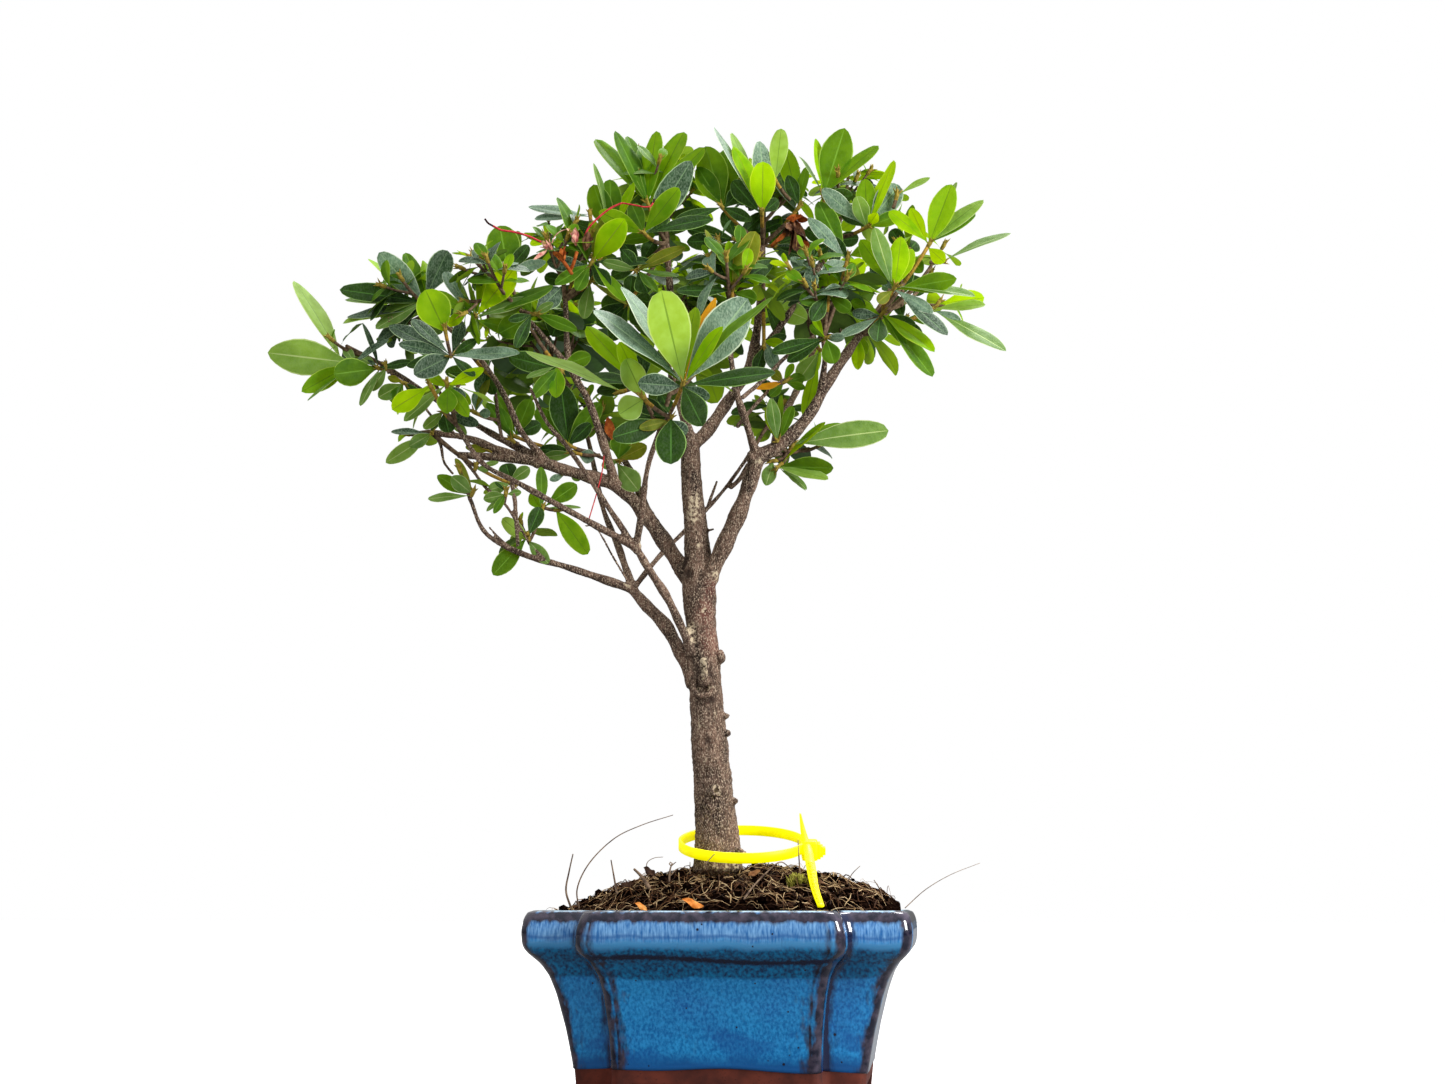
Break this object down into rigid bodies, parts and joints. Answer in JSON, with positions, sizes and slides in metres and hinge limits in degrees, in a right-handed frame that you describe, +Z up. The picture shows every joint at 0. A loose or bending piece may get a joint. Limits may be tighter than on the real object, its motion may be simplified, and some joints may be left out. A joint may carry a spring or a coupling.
{
  "type": "azalea bonsai",
  "caption": "Small azalea trained as a bonsai, with a leaning bare trunk, forked boughs and a spreading leafy crown, in a blue glazed pot with notched corners, filled with soil.",
  "frame": {"origin": "under the middle of the whole plant's box, on the level that the pot's feet stand on", "axes": "+Z up; +X to the right along the pot's long side, seen from its front; the pot's front faces -Y"},
  "size_m": [0.3586, 0.2116, 0.4807],
  "materials": {
    "glaze": "thick glossy blue glaze, mottled lighter and darker, that breaks dark on its edges and corners",
    "clay": "bare fired red-brown clay round the foot, matt",
    "soil": "dark fibrous potting soil with tan root fibres and bark flakes",
    "bark": "grey-brown cracked bark with pale flecks and a reddish patch, matt",
    "foliage": "small leathery leaves from dark blue-green to bright yellow-green, satin, with pale hairs along their edges",
    "blossom": "spent blossom, dried brown and orange-red, matt",
    "tie": "bright yellow moulded nylon, satin"
  },
  "bodies": {
    "root": {"bough_back": "bark", "bough_left": "bark", "bough_left_back": "bark", "bough_left_far": "bark", "bough_left_rise": "bark", "bough_left_upper": "bark", "bough_low": "bark", "bough_low_left": "bark", "bough_low_rise": "bark", "bough_middle_fork": "bark", "bough_middle_rise": "bark", "bough_right": "bark", "bough_right_back": "bark", "bough_right_inner": "bark", "bough_right_outer": "bark", "bough_right_upper": "bark", "bough_thin": "bark", "bough_thin_front": "bark", "bough_thin_left": "bark", "cable_tie": "tie", "leader_left": "bark", "leader_right": "bark", "leader_right_fork": "bark", "leaves_back": "foliage", "leaves_back_left": "foliage", "leaves_back_right": "foliage", "leaves_far_left": "foliage", "leaves_far_right": "foliage", "leaves_front": "foliage", "leaves_front_left": "foliage", "leaves_inner_left": "foliage", "leaves_inner_right": "foliage", "leaves_left": "foliage", "leaves_left_hanging": "foliage", "leaves_left_low": "foliage", "leaves_low_left": "foliage", "leaves_low_middle": "foliage", "leaves_middle": "foliage", "leaves_middle_left": "foliage", "leaves_right_middle": "foliage", "leaves_right_spray": "foliage", "leaves_right_top": "foliage", "leaves_top_left": "foliage", "leaves_top_right": "foliage", "pot": "glaze", "soil": "soil", "trunk": "bark", "twig_dead": "bark", "twig_low_cross": "bark", "twig_low_middle": "bark", "twig_right": "bark"}
  },
  "joints": []
}
